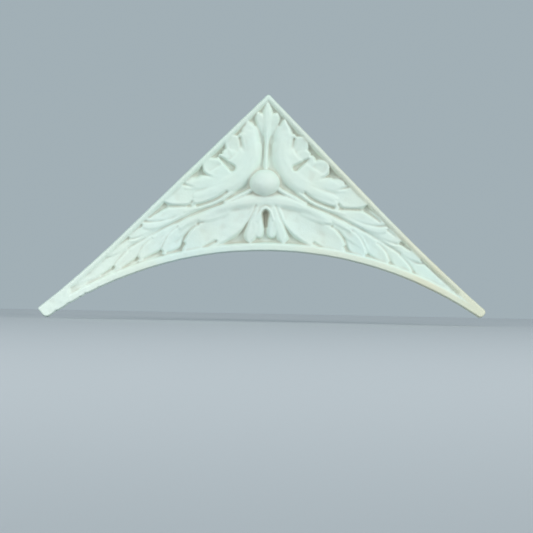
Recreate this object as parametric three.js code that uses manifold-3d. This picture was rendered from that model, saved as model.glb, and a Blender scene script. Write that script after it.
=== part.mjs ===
// A cast moulding corner: a right-angled spandrel with a raised rim, a concave arched foot and two long
// tapering legs, carved in low relief with an acanthus spray that springs from a ball at its centre.
// Millimetres, +Z up. The flat back lies in the plane y = 0 and the carved front faces -Y. The origin is
// on the back, behind the ball.

import * as THREE from "three";
import { mergeVertices } from "three/addons/utils/BufferGeometryUtils.js";
import Module from "manifold-3d";

// Driving dimensions of the outline
const RIGHT_REACH = 100.0; // centre line to where the right tip's upper corner would be without its rounding
const LEFT_REACH = 101.4; // and the left one's
const APEX_X = 0.2; // the apex lies a little to the right of the centre line
const APEX_Z = 40.8; // where the two upper edges would meet, above the origin
const ARC_X = 2.4; // the arched foot's centre lies to the right too
const ARC_CROWN_Z = -30.0; // top of the arched foot
const TIP_DEPTH = 5.66; // how far the arched foot passes below the right tip's upper corner
const APEX_ROUND = 1.7; // radius of the worn apex
const RIGHT_SWEEP_START = 50.0; // distance from the centre line where the right edge starts to sweep outwards
const LEFT_SWEEP_START = 66.8;
const RIGHT_SWEEP = 3.9; // how far it has swept out at the tip
const LEFT_SWEEP = 3.6;
const RIGHT_TIP_ROUND = 2.8; // radius of the right tip's corners
const LEFT_TIP_ROUND = 1.2; // of the left tip's upper corner
const LEFT_HEEL_ROUND = 3.0; // and of its lower one, which is worn off

// Driving dimensions of the section, heights measured from the back
const RIM_HEIGHT = 6.4;
const FIELD_HEIGHT = 2.6;
const UPPER_RIM_WIDTH = 1.5; // outline to the inner edge of the rim's face, along the upper edges
const FOOT_RIM_WIDTH = 3.0; // and along the arched foot
const UPPER_RIM_SLOPE = 1.9; // how far the rim's inner side leans in on its way down to the field
const FOOT_RIM_SLOPE = 1.2;
const FIELD_REACH = 88.0; // centre line to where the sunk field ends in each leg
const FIELD_END_SLOPE = 3.5; // how far it slopes up there
const LEAST_OPENING = 0.5; // the field also ends where it would be narrower than this
const WALL_DRAFT = 0.9; // how far the outer wall leans in on its way up
const EDGE_ROUND = 0.7; // rounding of the rim's outer edge, from the face down
const ROUND_SHARE = 0.5; // share of the lean that lies in the rounding

// The carving
const BALL_RADIUS = 7.0;
const BALL_HEIGHT = 9.6;
const BALL_X = -0.7; // the ball sits a little to the left of the centre line
const CARVING_SPAN = 100.0; // reach and rise that the lobe table below is drawn for
const CARVING_RISE = 70.8;
const SOFTNESS = 1.0; // height over which neighbouring lobes flow into each other
const LOBE_SPREAD = 0.4; // how far a lobe's rounded foot reaches past its half width
const EDGE_MOST = 0.9; // most of a lobe's half width that its rounded edge takes
const DROOP_POWER = 6; // how late along a lobe it droops
const SCOOP_POWER = 4; // how late along a lobe its scoop runs out

// Facets
const EDGE_STEP = 3.4; // longest stretch of outline between two corners
const ROUND_STEPS = 5; // facets of a rounded corner
const LEAST_ROUND = 0.3;
const ROUND_REACH = 1.5; // how far from a tip's corner the edges' own corners stop, as a share of its radius
const HALVINGS = 40; // steps of a search for a crossing
const SPINE_STEPS = 24;
const GRID_STATIONS = 22;
const GRID_STEP = 0.8;
const STROKE_SECTION = [-1, -0.5, 0, 0.5, 1];
const LOBE_SECTION = [-1, -0.8, -0.4, 0, 0.4, 0.8, 1];
const BALL_SIDES = 24;
const BALL_RINGS = [0, 0.35, 0.6, 0.8, 0.93, 1];
const CARVING_FACETS = 7200;
const LEAST_SPACING = 0.2; // closest two corners of the carving may come
const LEAST_FACET = 0.01; // smallest facet, as twice its area
const POCKET_DEPTH = 0.6; // how far the pocket is cut below the field
const BED_DEPTH = 0.9; // how far the carving's bed reaches below it
const SLAB_DEPTH = 1.2; // and the slab that the bed is cut from
const HEADROOM = 1; // what the cuts reach over what they cut
const SLAB_MARGIN = 2;
const POCKET_OVERLAP = 0.15; // how far the carving runs under the rim's face, as a share of its inner side

const wasm = await Module();
wasm.setup();

// What differs between the two legs.
const RIGHT_LEG = {
  side: 1,
  reach: RIGHT_REACH,
  sweepStart: RIGHT_SWEEP_START,
  sweep: RIGHT_SWEEP,
  tipRound: RIGHT_TIP_ROUND,
  heelRound: RIGHT_TIP_ROUND,
};
const LEFT_LEG = {
  side: -1,
  reach: LEFT_REACH,
  sweepStart: LEFT_SWEEP_START,
  sweep: LEFT_SWEEP,
  tipRound: LEFT_TIP_ROUND,
  heelRound: LEFT_HEEL_ROUND,
};

const legAt = (x) => (x > 0 ? RIGHT_LEG : LEFT_LEG);

// How far along its swept stretch an upper edge is at x, from 0 to 1.
function sweptShare(x) {
  const { reach, sweepStart } = legAt(x);
  return Math.max(0, Math.abs(x) - sweepStart) / (reach - sweepStart);
}

// How far down an upper edge runs for each millimetre outwards.
function edgeFall(x) {
  const { reach, sweepStart, sweep } = legAt(x);
  return 1 - (2 * sweep * sweptShare(x)) / (reach - sweepStart);
}

// Height of an upper edge at x, moved in by inset square to the edge.
function upperEdge(x, inset) {
  const sweptOut = legAt(x).sweep * sweptShare(x) ** 2;
  return APEX_Z - Math.abs(x - APEX_X) + sweptOut - inset * Math.hypot(1, edgeFall(x));
}

// The arched foot's circle runs through its crown and through a point below the right tip.
const footDrop = ARC_CROWN_Z - upperEdge(RIGHT_REACH, 0) + TIP_DEPTH;
const arcRadius = ((RIGHT_REACH - ARC_X) ** 2 + footDrop ** 2) / (2 * footDrop);
const arcCentreZ = ARC_CROWN_Z - arcRadius;

// Height of the arched foot at x, moved in by inset.
function archedFoot(x, inset) {
  return arcCentreZ + Math.sqrt((arcRadius + inset) ** 2 - (x - ARC_X) ** 2);
}

// The value between near and far at which a test that holds at near stops holding.
function turningPoint(near, far, holds) {
  for (let i = 0; i < HALVINGS; i++) {
    const middle = (near + far) / 2;
    if (holds(middle)) near = middle;
    else far = middle;
  }
  return near;
}

// Replaces each corner of a closed outline that has a round by a curve of that radius.
function roundCorners(corners) {
  const points = [];
  corners.forEach(({ at, round }, i) => {
    if (!round) {
      points.push(at);
      return;
    }
    const before = corners.at(i - 1).at.clone().sub(at);
    const after = corners[(i + 1) % corners.length].at.clone().sub(at);
    const fullSetback = round / Math.tan(before.angleTo(after) / 2);
    const setback = Math.min(fullSetback, before.length() / 2, after.length() / 2);
    const start = at.clone().addScaledVector(before.normalize(), setback);
    const end = at.clone().addScaledVector(after.normalize(), setback);
    points.push(...new THREE.QuadraticBezierCurve(start, at, end).getPoints(ROUND_STEPS));
  });
  return points;
}

// Corners along a bent edge, outwards from one distance from the centre line to just before another.
function bentRun({ side, reach }, from, to, height) {
  const steps = Math.ceil((reach - from) / EDGE_STEP);
  return Array.from({ length: steps - 1 }, (_, i) => {
    const x = side * (from + ((to - from) * (i + 1)) / steps);
    return { at: new THREE.Vector2(x, height(x)) };
  });
}

// Corners of an upper edge, which is straight as far as the place where its sweep starts.
function sweptRun(leg, to, inset) {
  const height = (x) => upperEdge(x, inset);
  const bend = leg.side * leg.sweepStart;
  return [{ at: new THREE.Vector2(bend, height(bend)) }, ...bentRun(leg, leg.sweepStart, to, height)];
}

// The two corners of a tip, where a cut square to the leg crosses the upper edge and the foot.
function tipCorners({ side, reach, tipRound, heelRound }, inset) {
  const along = new THREE.Vector2(side, -edgeFall(side * reach)).normalize();
  const down = new THREE.Vector2(side * along.y, -side * along.x);
  const top = new THREE.Vector2(side * reach, upperEdge(side * reach, 0));
  const isInside = (w) => top.y + w * down.y > archedFoot(top.x + w * down.x, 0);
  const width = turningPoint(0, reach, isInside);
  const corner = (depth, round) => ({
    at: top.clone().addScaledVector(down, depth).addScaledVector(along, -inset),
    round: Math.max(round - inset, LEAST_ROUND),
  });
  return { upper: corner(inset, tipRound), lower: corner(width - inset, heelRound) };
}

// The whole outline moved in by inset, anticlockwise seen from the front.
function outline(inset) {
  const half = (leg) => {
    const { upper, lower } = tipCorners(leg, inset);
    const upperEnd = Math.abs(upper.at.x) - ROUND_REACH * leg.tipRound;
    const lowerEnd = Math.abs(lower.at.x) - ROUND_REACH * leg.heelRound;
    const edge = sweptRun(leg, upperEnd, inset);
    const foot = bentRun(leg, 0, lowerEnd, (x) => archedFoot(x, inset));
    return [...edge, upper, lower, ...foot.reverse()];
  };
  return roundCorners([
    { at: new THREE.Vector2(APEX_X, upperEdge(APEX_X, inset)), round: APEX_ROUND },
    ...half(LEFT_LEG),
    { at: new THREE.Vector2(0, archedFoot(0, inset)) },
    ...half(RIGHT_LEG).reverse(),
  ]);
}

// The sunk field's outline at a share of the way down the rim's inner side, from its face to the field:
// both edges moved in, and cut off before the tips.
function fieldOutline(share) {
  const upperInset = UPPER_RIM_WIDTH + share * UPPER_RIM_SLOPE;
  const footInset = FOOT_RIM_WIDTH + share * FOOT_RIM_SLOPE;
  const half = (leg) => {
    const fieldEnd = FIELD_REACH - share * FIELD_END_SLOPE;
    const opening = (far) => upperEdge(leg.side * far, upperInset) - archedFoot(leg.side * far, footInset);
    const isOpen = (far) => far < fieldEnd && opening(far) > LEAST_OPENING;
    const end = turningPoint(leg.sweepStart, leg.reach, isOpen);
    const edge = sweptRun(leg, end, upperInset);
    const foot = bentRun(leg, 0, end, (x) => archedFoot(x, footInset));
    const tip = leg.side * end;
    const corners = [upperEdge(tip, upperInset), archedFoot(tip, footInset)];
    return [...edge, ...corners.map((z) => ({ at: new THREE.Vector2(tip, z) })), ...foot.reverse()];
  };
  return roundCorners([
    { at: new THREE.Vector2(APEX_X, upperEdge(APEX_X, upperInset)) },
    ...half(LEFT_LEG),
    { at: new THREE.Vector2(0, archedFoot(0, footInset)) },
    ...half(RIGHT_LEG).reverse(),
  ]);
}

// A closed solid from rings of equal length, each ring a list of Vector3 at one level.
function ringSolid(rings) {
  const count = rings[0].length;
  const positions = rings.flat().flatMap((p) => [p.x, p.y, p.z]);
  const faces = [];
  for (let r = 0; r + 1 < rings.length; r++) {
    for (let i = 0; i < count; i++) {
      const a = r * count + i;
      const b = r * count + ((i + 1) % count);
      faces.push(a, b, b + count, a, b + count, a + count);
    }
  }
  const last = (rings.length - 1) * count;
  levelEnd(rings[0]).forEach(([a, b, c]) => faces.push(a, c, b));
  levelEnd(rings.at(-1)).forEach(([a, b, c]) => faces.push(last + a, last + b, last + c));
  return closedSolid(positions, faces);
}

// Triangles that close a level ring of any outline.
function levelEnd(ring) {
  const flat = ring.map((p) => new THREE.Vector2(p.x, p.y));
  return THREE.ShapeUtils.triangulateShape(flat, []);
}

// A solid for joining and cutting, from positions and triangles.
function closedSolid(positions, faces) {
  const geometry = new THREE.BufferGeometry();
  geometry.setAttribute("position", new THREE.Float32BufferAttribute(positions, 3));
  geometry.setIndex(faces);
  const merged = mergeVertices(geometry, 1e-5);
  return new wasm.Manifold(
    new wasm.Mesh({
      numProp: 3,
      vertProperties: merged.attributes.position.array,
      triVerts: new Uint32Array(merged.index.array),
    }),
  );
}

const raised = (points, height) => points.map((p) => new THREE.Vector3(p.x, p.y, height));

// The blank: a flat back, a wall that leans in, and a rounded edge up to the rim's face.
function blank() {
  const rounding = WALL_DRAFT * ROUND_SHARE;
  const slope = Math.PI / 4;
  const levels = [
    [0, 0],
    [WALL_DRAFT - rounding, RIM_HEIGHT - EDGE_ROUND],
    [WALL_DRAFT - rounding * Math.sin(slope), RIM_HEIGHT - EDGE_ROUND * (1 - Math.sin(slope))],
    [WALL_DRAFT, RIM_HEIGHT],
  ];
  return ringSolid(levels.map(([inset, height]) => raised(outline(inset), height)));
}

// What is sunk inside the rim, from the field up to well above the carving.
function pocket(floor, ceiling) {
  const drop = (RIM_HEIGHT - floor) / (RIM_HEIGHT - FIELD_HEIGHT);
  const rise = (ceiling - RIM_HEIGHT) / (RIM_HEIGHT - FIELD_HEIGHT);
  return ringSolid([
    raised(fieldOutline(drop), floor),
    raised(fieldOutline(-rise), ceiling),
  ]);
}

// A spine on one side of the centre line, as a curve, its points and the box that they fill with spread
// round them. Half way along it passes the point named via, or else it is straight.
function spineOf(side, { root, via, tip }, spread) {
  const stretchX = legAt(side).reach / CARVING_SPAN;
  const stretchZ = (APEX_Z - ARC_CROWN_Z) / CARVING_RISE;
  const place = ([x, z]) => new THREE.Vector2(x * stretchX, z * stretchZ);
  const from = place(root);
  const to = place(tip);
  const middle = from.clone().lerp(to, 0.5);
  const knee = via ? place(via).multiplyScalar(2).sub(middle) : middle;
  const curve = new THREE.QuadraticBezierCurve(from, knee, to);
  const line = curve.getPoints(SPINE_STEPS);
  return { curve, line, box: new THREE.Box2().setFromPoints(line).expandByScalar(spread) };
}

// Points across a spine at each of the given shares of its width, which may change along it.
function gridAlong(side, curve, widthAt, section) {
  return section.flatMap((t) =>
    Array.from({ length: GRID_STATIONS + 1 }, (_, i) => {
      const share = Math.sin((i / GRID_STATIONS) * (Math.PI / 2));
      const ahead = curve.getTangent(share);
      const across = new THREE.Vector2(-ahead.y, ahead.x).multiplyScalar(t * widthAt(share));
      const at = curve.getPoint(share).add(across);
      return new THREE.Vector2(side * at.x, at.y);
    }),
  );
}

// What a lobe has where its own lines don't say otherwise.
const LOBE_HABIT = {
  crest: [5.0, 6.0], // height of its top over the back, at the root and at the tip
  rootShare: 0.7, // half width at the root, as a share of the fullest
  fullest: 0.6, // where along its length it is fullest
  point: 0.5, // how the tip closes: 0.5 is round, and more is more pointed
  scoop: 0.3, // how deep its middle is hollowed
  tilt: 0, // how much the edge on the spine's left stands over the middle
  edge: 1.7, // how wide its rounded edge is
  droop: 0.5, // how far the tip bends down
};

// One lobe of a leaf: a tongue along a spine from its root to its tip, with a hollowed middle and rounded
// edges.
function lobe(side, spec) {
  const own = { ...LOBE_HABIT, ...spec, ...(side > 0 ? spec.right : spec.left) };
  const { half, crest, rootShare, fullest, point, scoop, tilt, edge, droop } = own;
  const { curve, line, box } = spineOf(side, own, half + LOBE_SPREAD);
  const widthAt = (share) => half * lobeWidth(share, rootShare, fullest, point) + LOBE_SPREAD;
  const grid = () => gridAlong(side, curve, widthAt, LOBE_SECTION);

  // Height of the lobe over a point, or the back's where it doesn't reach.
  const heightAt = (x, z) => {
    const place = new THREE.Vector2(side * x, z);
    if (!box.containsPoint(place)) return 0;
    const { share, offset } = nearestOn(line, place);
    const width = widthAt(share);
    const t = offset / width;
    if (!(Math.abs(t) < 1)) return 0;
    const lip = THREE.MathUtils.lerp(crest[0], crest[1], share) - droop * share ** DROOP_POWER + tilt * t;
    const level = lip - scoop * (1 - t * t) * (1 - share ** SCOOP_POWER);
    const band = Math.min(edge, EDGE_MOST * width);
    const fall = Math.max(0, 1 - (width - Math.abs(offset)) / band);
    return THREE.MathUtils.lerp(level, FIELD_HEIGHT, fall * fall);
  };
  return { grid, heightAt };
}

// A stroke of the gouge along a spine: a groove where its depth is below zero, a ridge where it is above.
function stroke(side, spec) {
  const own = { ...spec, ...(side > 0 ? spec.right : spec.left) };
  const { half, depth } = own;
  const { curve, line, box } = spineOf(side, own, Math.max(...half));
  const widthAt = (share) => THREE.MathUtils.lerp(half[0], half[1], share);
  const grid = () => gridAlong(side, curve, widthAt, STROKE_SECTION);
  const changeAt = (x, z) => {
    const place = new THREE.Vector2(side * x, z);
    if (!box.containsPoint(place)) return 0;
    const { share, offset } = nearestOn(line, place);
    const t = offset / widthAt(share);
    return Math.abs(t) < 1 ? THREE.MathUtils.lerp(depth[0], depth[1], share) * (1 - t * t) ** 2 : 0;
  };
  return { grid, changeAt };
}

// Share of a spine at which it passes closest to a point, and how far to its left the point lies.
function nearestOn(line, point) {
  const best = { distance: Infinity, share: 0, offset: 0 };
  for (let i = 0; i + 1 < line.length; i++) {
    const stepX = line[i + 1].x - line[i].x;
    const stepZ = line[i + 1].y - line[i].y;
    const toX = point.x - line[i].x;
    const toZ = point.y - line[i].y;
    const run = (toX * stepX + toZ * stepZ) / (stepX * stepX + stepZ * stepZ);
    const held = THREE.MathUtils.clamp(run, 0, 1);
    const distance = Math.hypot(toX - held * stepX, toZ - held * stepZ);
    if (distance >= best.distance) continue;
    best.distance = distance;
    best.share = (i + held) / (line.length - 1);
    best.offset = Math.sign(stepX * toZ - stepZ * toX) * distance;
  }
  return best;
}

// Share of a lobe's half width at a share of its length.
function lobeWidth(share, rootShare, fullest, point) {
  if (share < fullest) return rootShare + (1 - rootShare) * Math.sin(((share / fullest) * Math.PI) / 2);
  const closing = (share - fullest) / (1 - fullest);
  return Math.max(0, 1 - closing * closing) ** point;
}

// The higher of two heights, with a fillet where they come within SOFTNESS of each other.
function blend(a, b) {
  const near = Math.max(0, SOFTNESS - Math.abs(a - b));
  return Math.max(a, b) + (near * near) / (4 * SOFTNESS);
}

// The spray on one side, drawn for the right: x grows towards the tip. The left one is its mirror image,
// apart from what the carver's hand made differently.
const SPRAY = [
  // Bed under the leg's leaflets, and under the leaf's fingers
  { root: [15, -6.6], via: [55.5, -26.5], tip: [96, -54.5], half: 7.0, crest: [4.6, 5.2], rootShare: 0.4,
    fullest: 0.5, point: 0.4, scoop: 0, edge: 1.2, droop: 0 },
  { root: [9.0, 18], via: [14.6, 7.2], tip: [36, -2.6], half: 4.3, crest: [5.1, 5.1], edge: 1.8, scoop: 0,
    droop: 0 },
  // Hollow of the upper leaf, which bends round the ball and rolls down to it
  { root: [7.7, 20.5], via: [10.6, 4.6], tip: [32, -6.2], half: 5.3, crest: [5.4, 5.4], edge: 4.6,
    scoop: 0, droop: 0 },
  // Its lobes and their side teeth, from the apex round to the leg
  { root: [8.5, 6], via: [7.5, 17.5], tip: [7.4, 28.8], half: 4.4, crest: [4.0, 6.4], point: 0.62,
    scoop: 0.4,
    left: { tip: [8.6, 27.9], via: [7.7, 18] } },
  { root: [7.5, 15.5], tip: [12.2, 22.3], half: 2.9, crest: [4.4, 6.0], edge: 1.8, fullest: 0.75 },
  { root: [8.0, 8.5], tip: [16.9, 20.7], half: 4.4, crest: [3.8, 6.4], fullest: 0.72, point: 0.42,
    scoop: 0.5 },
  { root: [9.5, 10.0], tip: [19.6, 13.9], half: 3.2, crest: [4.2, 6.1], fullest: 0.75, point: 0.42 },
  { root: [15.0, 2.0], tip: [20.6, 12.9], half: 2.8, crest: [4.0, 6.1], fullest: 0.75, point: 0.42 },
  { root: [12.0, 1.5], via: [20.5, 5.8], tip: [28.0, 8.0], half: 4.5, crest: [4.0, 6.4], fullest: 0.72,
    point: 0.38, scoop: 0.5 },
  { root: [18.0, -1.6], tip: [35.2, 1.0], half: 3.8, crest: [4.2, 6.2], fullest: 0.75, point: 0.42,
    left: { tip: [35.8, 0.8] } },
  { root: [13.0, -1.5], via: [29.5, -3.6], tip: [45.0, -8.4], half: 5.9, crest: [4.6, 6.3], point: 0.5,
    scoop: 0.5, edge: 2.2 },
  { root: [18.0, -2.0], via: [26.0, -5.8], tip: [32.2, -8.9], half: 2.6, crest: [4.8, 6.0] },
  // Stem of the leaf under it, and the thin one beside it
  { root: [12.0, -4.2], via: [21, -8.2], tip: [36, -13], half: 1.7, crest: [4.6, 5.5], fullest: 0.4,
    scoop: 0 },
  { root: [5.8, -2.2], via: [12, -5.4], tip: [20, -9.1], half: 1.1, crest: [5.0, 4.8], rootShare: 1,
    scoop: 0, edge: 0.9 },
  // Upper leaflets of the leg
  { root: [26, -9.6], via: [42, -14.2], tip: [54.2, -20.2], half: 4.8, crest: [4.4, 6.1], rootShare: 0.4,
    scoop: 0.3 },
  { root: [38, -15.8], via: [50.5, -20.7], tip: [61.4, -26.2], half: 4.2, crest: [4.4, 6.0],
    rootShare: 0.5, scoop: 0.3 },
  { root: [48, -21.2], via: [60, -27.4], tip: [70.2, -33.6], half: 3.8, crest: [4.4, 5.9], rootShare: 0.5,
    scoop: 0.3 },
  // Great scooped lobe below the collar, with its upper tooth
  { root: [3.0, -6.5], via: [18.6, -17.6], tip: [36.2, -31.0], half: 8.3, crest: [5.4, 6.5],
    rootShare: 0.35, fullest: 0.48, point: 0.45, scoop: 1.3, edge: 2.2 },
  { root: [17.0, -12.9], tip: [29.3, -16.6], half: 2.3, edge: 1.8, crest: [4.8, 6.2], fullest: 0.75 },
  // Lower leaflets of the leg
  { root: [25, -13.8], via: [36.4, -22.4], tip: [45.0, -32.2], half: 4.9, crest: [4.6, 6.2], tilt: 0.5,
    scoop: 0.7, fullest: 0.65 },
  { root: [36, -18.6], via: [47.0, -27.2], tip: [55.6, -35.8], half: 4.3, crest: [4.5, 6.1], tilt: 0.5,
    scoop: 0.6, fullest: 0.65 },
  { root: [47, -24.4], via: [57.6, -32.4], tip: [66.2, -39.6], half: 3.7, crest: [4.5, 6.0], tilt: 0.4,
    scoop: 0.5, fullest: 0.65 },
  // Last leaflet, in the tapering end of the leg
  { root: [58, -29.6], via: [71, -37.5], tip: [85.5, -47.6], half: 4.2, crest: [4.6, 5.9], fullest: 0.4,
    point: 0.8, scoop: 0.3 },
  // Side lobe of the bud under the apex
  { root: [1.0, 20.4], via: [3.1, 26.4], tip: [3.9, 32.2], half: 3.0, crest: [4.4, 6.4], rootShare: 0.4,
    fullest: 0.78, scoop: 0.2, edge: 2.2, point: 0.48 },
  // Lip of the leaf's foot, along the stem
  { root: [4.0, 9], via: [3.1, 16], tip: [2.4, 24], half: 1.5, crest: [3.4, 5.0], scoop: 0 },
  // Hanging lobes of the middle leaf
  { root: [4.4, -7.4], via: [3.6, -16.5], tip: [2.3, -24.2], half: 3.3, crest: [5.2, 6.0], rootShare: 0.75,
    fullest: 0.7, point: 0.4, edge: 2.4 },
  { root: [5.0, -7.4], via: [6.8, -17.0], tip: [9.2, -27.0], half: 3.5, crest: [5.0, 6.5], rootShare: 0.6,
    fullest: 0.75, scoop: 0.2, point: 0.42, edge: 2.4 },
];

// Grooves of the spray, drawn in the same way.
const GOUGING = [
  // Creases that run into the leaf from its sinuses, and its drilled eye
  { root: [12.2, 20.2], tip: [10.2, 13.5], half: [1.1, 1.4], depth: [-2.2, 0] },
  { root: [13.0, 7.4], tip: [18.6, 11.4], half: [2.3, 1.0], depth: [-5.0, -3],
    left: { root: [15.4, 7.0], tip: [22.0, 12.4], half: [2.1, 1.0] } },
  { root: [28.4, 4.2], tip: [23.5, 2.6], half: [1.1, 0.8], depth: [-1.8, 0] },
  { root: [36.4, -0.8], tip: [31, -2.4], half: [1.0, 0.8], depth: [-1.2, 0] },
  // Hollow down the middle of its first lobe
  { root: [6.6, 25], via: [6.6, 17], tip: [9.0, 6.5], half: [1.2, 2.4], depth: [-0.2, -0.5] },
  // Groove and notch under its last lobes
  { root: [17.4, -3.8], via: [22.6, -7.5], tip: [30, -10.1], half: [1.0, 1.1], depth: [-1.2, -1.4] },
  { root: [32.4, -8.6], tip: [34.0, -10.4], half: [1.1, 1.0], depth: [-1.2, -0.6] },
  { root: [33, -10.5], tip: [45, -10.8], half: [1.0, 1.1], depth: [-0.8, -1.4] },
  // Groove that parts the upper half of the spray from the lower
  { root: [7.8, -1.2], via: [13.2, -4.6], tip: [20.5, -9.2], half: [1.6, 1.0], depth: [-3.0, -1.0] },
  { root: [19.0, -8.9], via: [39, -17.5], tip: [60, -29.8], half: [1.2, 1.1], depth: [-1.3, -0.7] },
  { root: [5.5, -3.9], via: [12, -6.4], tip: [18, -9.2], half: [0.7, 0.7], depth: [-0.8, -0.8] },
  // Sinuses of the great lobe
  { root: [29.8, -18.2], tip: [25.0, -16.8], half: [0.9, 0.7], depth: [-0.9, 0] },
  { root: [21.7, -26.0], tip: [27, -28.8], half: [1.0, 0.9], depth: [-1.5, -0.6] },
  // Pits between the leaflets and the rim
  { root: [44.6, -10.9], tip: [51, -15.8], half: [1.4, 0.8], depth: [-2.4, -0.8] },
  { root: [54.5, -19.6], tip: [58, -22.4], half: [0.9, 0.6], depth: [-1.0, -0.4] },
  { root: [60.6, -25.2], tip: [64.8, -28.4], half: [1.1, 0.7], depth: [-2.0, -0.8] },
  { root: [69.8, -32.8], via: [77, -39.3], tip: [84, -46], half: [0.9, 0.7], depth: [-1.3, -0.8] },
  { root: [35.6, -27.4], via: [38.2, -29.9], tip: [43, -31.5], half: [1.1, 0.7], depth: [-2.0, -0.6] },
  { root: [45.4, -31.2], tip: [53, -34.4], half: [1.1, 0.7], depth: [-2.0, -0.6] },
  { root: [55.8, -34.4], tip: [62.5, -38.8], half: [1.1, 0.7], depth: [-1.8, -0.6] },
  { root: [66.2, -38.6], tip: [71.5, -42], half: [1.0, 0.7], depth: [-1.6, -0.6] },
  // Crease between the middle leaf and the great lobe
  { root: [4.4, -9.6], via: [7.9, -17.6], tip: [11.4, -23.4], half: [0.9, 1.0], depth: [-0.5, -1.8] },
];

// What stands on the centre line: the stem from the ball to the bud, the bud's middle lobe, and the collar
// that the lower half of the spray hangs from.
const STEM = [
  { root: [-0.3, 6], tip: [0, 26], half: 1.7, crest: [5.0, 5.6], rootShare: 0.8, fullest: 0.3, scoop: 0,
    edge: 1.5 },
  { root: [0, 21], via: [0.1, 29.5], tip: [0, 37.4], half: 2.6, crest: [5.4, 6.2], fullest: 0.5,
    point: 0.8, scoop: 0, edge: 2 },
  // Collar under the ball, which runs out along both legs as the lower half's upper edge
  { root: [-38, -20.3], via: [0, -7.3], tip: [38, -20.3], half: 3.4, crest: [5.7, 5.7], rootShare: 0.35,
    fullest: 0.5, scoop: 0, edge: 3.2, droop: 0 },
];
// The middle leaf's drilled eye
const EYE = [{ root: [0.0, -13.2], tip: [0.2, -18.8], half: [2.3, 0.8], depth: [-5.0, -2.4] }];

// Height of the ball over a point: the cap of a sphere that stands on the field.
function ballHeight(x, z) {
  const cap = BALL_HEIGHT - FIELD_HEIGHT;
  const spread = Math.min(1, Math.hypot(x - BALL_X, z) / BALL_RADIUS);
  return FIELD_HEIGHT + cap * Math.sqrt(1 - spread * spread);
}

// Points on rings round the ball.
function ballGrid() {
  return BALL_RINGS.flatMap((ring) =>
    Array.from({ length: BALL_SIDES }, (_, i) => {
      const turn = (i / BALL_SIDES) * 2 * Math.PI;
      const reach = ring * BALL_RADIUS;
      return new THREE.Vector2(BALL_X + reach * Math.cos(turn), reach * Math.sin(turn));
    }),
  );
}

// Points on an even grid over a box, every other row shifted by half a step.
function evenGrid(box) {
  const size = box.getSize(new THREE.Vector2());
  const columns = Math.floor(size.x / GRID_STEP);
  const rows = Math.floor(size.y / GRID_STEP);
  return Array.from({ length: columns * rows }, (_, i) => {
    const row = Math.floor(i / columns);
    const column = (i % columns) + (row % 2) / 2;
    return new THREE.Vector2(box.min.x + column * GRID_STEP, box.min.y + row * GRID_STEP);
  });
}

// Twice the area of a triangle, positive where its corners run anticlockwise.
const turn = (a, b, c) => (b.x - a.x) * (c.y - a.y) - (b.y - a.y) * (c.x - a.x);

// Whether a point lies in the circle through a triangle's corners.
function inCircle([a, b, c], p) {
  const [ax, ay, bx, by, cx, cy] = [a.x - p.x, a.y - p.y, b.x - p.x, b.y - p.y, c.x - p.x, c.y - p.y];
  const [a2, b2, c2] = [ax * ax + ay * ay, bx * bx + by * by, cx * cx + cy * cy];
  return ax * (by * c2 - b2 * cy) - ay * (bx * c2 - b2 * cx) + a2 * (bx * cy - by * cx) > 0;
}

// The facet between three corners, with the samples that lie over it and the one that stands furthest off
// it.
function facet(corners, samples) {
  const [a, b, c] = corners;
  const area = turn(a, b, c);
  const made = { corners, across: [null, null, null], samples, worst: null, error: 0, open: true };
  for (const sample of samples) {
    const level = (turn(sample, b, c) * a.z + turn(a, sample, c) * b.z + turn(a, b, sample) * c.z) / area;
    const error = Math.abs(sample.z - level);
    if (error > made.error) Object.assign(made, { error, worst: sample });
  }
  return made;
}

// Fits flat facets to samples of a height over a rectangle. It starts from two facets. The sample furthest
// off its facet becomes a corner, and the facets whose circle holds it are spread from it again, until
// there are enough.
function fitFacets(corners, samples, facetCount) {
  const [a, b, c, d] = corners;
  const first = facet([a, b, c], samples.filter((p) => turn(a, p, c) <= 0));
  const second = facet([a, c, d], samples.filter((p) => turn(a, p, c) > 0));
  first.across[2] = second;
  second.across[0] = first;
  let facets = [first, second];
  while (facets.length < facetCount) {
    const start = facets.reduce((most, f) => (f.error > most.error ? f : most));
    if (!start.worst) break;
    const point = start.worst;
    const isClose = start.corners.some((q) => Math.hypot(q.x - point.x, q.y - point.y) < LEAST_SPACING);
    const spread = isClose ? null : spreadFrom(point, start);
    if (spread) facets = facets.filter((f) => f.open).concat(spread);
    else {
      const others = start.samples.filter((q) => q !== point);
      Object.assign(start, facet(start.corners, others), { across: start.across });
    }
  }
  return facets;
}

// Replaces the facets whose circle holds a new corner by facets spread from it, or gives null where one
// would fold.
function spreadFrom(point, start) {
  const opened = new Set([start]);
  const border = [];
  for (const f of opened) {
    f.across.forEach((next, k) => {
      if (next && (opened.has(next) || inCircle(next.corners, point))) opened.add(next);
      else border.push({ from: f.corners[k], to: f.corners[(k + 1) % 3], outside: next });
    });
  }
  if (border.some(({ from, to }) => turn(from, to, point) < LEAST_FACET)) return null;
  const loose = [...opened].flatMap((f) => f.samples).filter((p) => p !== point);
  const made = border.map(({ from, to }) => {
    const inside = loose.filter((p) => turn(point, from, p) >= 0 && turn(point, to, p) < 0);
    return facet([from, to, point], inside);
  });
  made.forEach((f, i) => {
    const { from, to, outside } = border[i];
    const next = made[border.findIndex((e) => e.from === to)];
    const last = made[border.findIndex((e) => e.to === from)];
    f.across = [outside, next, last];
    if (outside) outside.across[outside.corners.indexOf(to)] = f;
  });
  opened.forEach((f) => (f.open = false));
  return made;
}

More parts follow.
